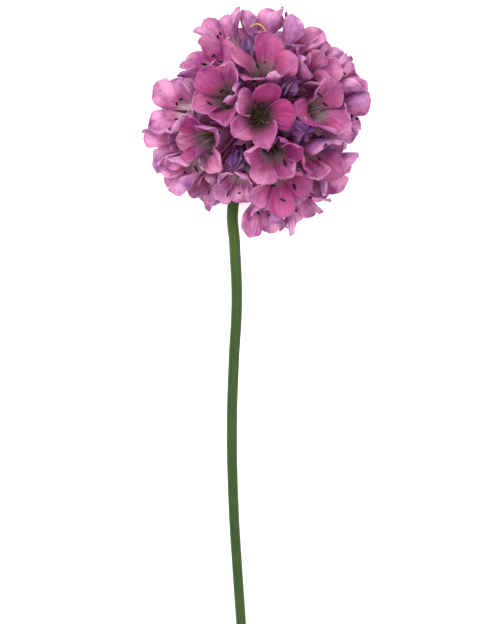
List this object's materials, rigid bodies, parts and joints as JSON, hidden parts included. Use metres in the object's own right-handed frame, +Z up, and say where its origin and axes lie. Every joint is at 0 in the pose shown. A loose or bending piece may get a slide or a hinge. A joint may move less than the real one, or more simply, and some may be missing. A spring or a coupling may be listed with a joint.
{
  "type": "thrift flower head",
  "caption": "Round pink flower head of a picked thrift, with open five-petalled florets, closed buds and its thin green stem, lying on a surface.",
  "frame": {"origin": "middle of the flower's footprint, on the surface that it lies on", "axes": "+Y along the stem towards the flower head, +Z up; the open floret nearest the middle faces +Z"},
  "size_m": [0.0436, 0.127, 0.0416],
  "materials": {
    "petal": "fresh thin petals, satin, rose pink with lilac backs and pale claws",
    "bud": "crumpled closed petals, satin, dull purple",
    "receptacle": "fresh pale green plant tissue, matt",
    "stem": "fresh smooth green stem, satin",
    "papery_scale": "dry thin scales, light brown, matt"
  },
  "bodies": {
    "root": {"floret_01": "petal", "floret_02": "petal", "floret_03": "petal", "floret_04": "petal", "floret_05": "petal", "floret_06": "petal", "floret_07": "petal", "floret_08": "petal", "floret_09": "petal", "floret_10": "petal", "floret_11": "petal", "floret_12": "petal", "floret_13": "petal", "floret_14": "petal", "floret_15": "petal", "floret_16": "petal", "floret_17": "petal", "floret_18": "petal", "floret_19": "petal", "floret_20": "petal", "floret_21": "petal", "floret_22": "petal", "floret_23": "petal", "floret_24": "petal", "floret_25": "petal", "floret_26": "petal", "floret_27": "petal", "floret_28": "petal", "floret_29": "petal", "floret_30": "petal", "floret_31": "petal", "floret_32": "petal", "floret_33": "petal", "floret_34": "petal", "floret_35": "petal", "floret_36": "petal", "floret_37": "petal", "floret_38": "petal", "floret_39": "petal", "floret_40": "petal", "floret_41": "petal", "floret_42": "petal", "floret_43": "petal", "floret_44": "petal", "floret_45": "petal", "floret_46": "petal", "bud_1": "bud", "bud_2": "bud", "bud_3": "bud", "bud_4": "bud", "bud_5": "bud", "bud_6": "bud", "receptacle": "receptacle", "stem": "stem", "sheath": "papery_scale", "bract_1": "papery_scale", "bract_2": "papery_scale", "bract_3": "papery_scale", "bract_4": "papery_scale", "bract_5": "papery_scale"}
  },
  "joints": []
}
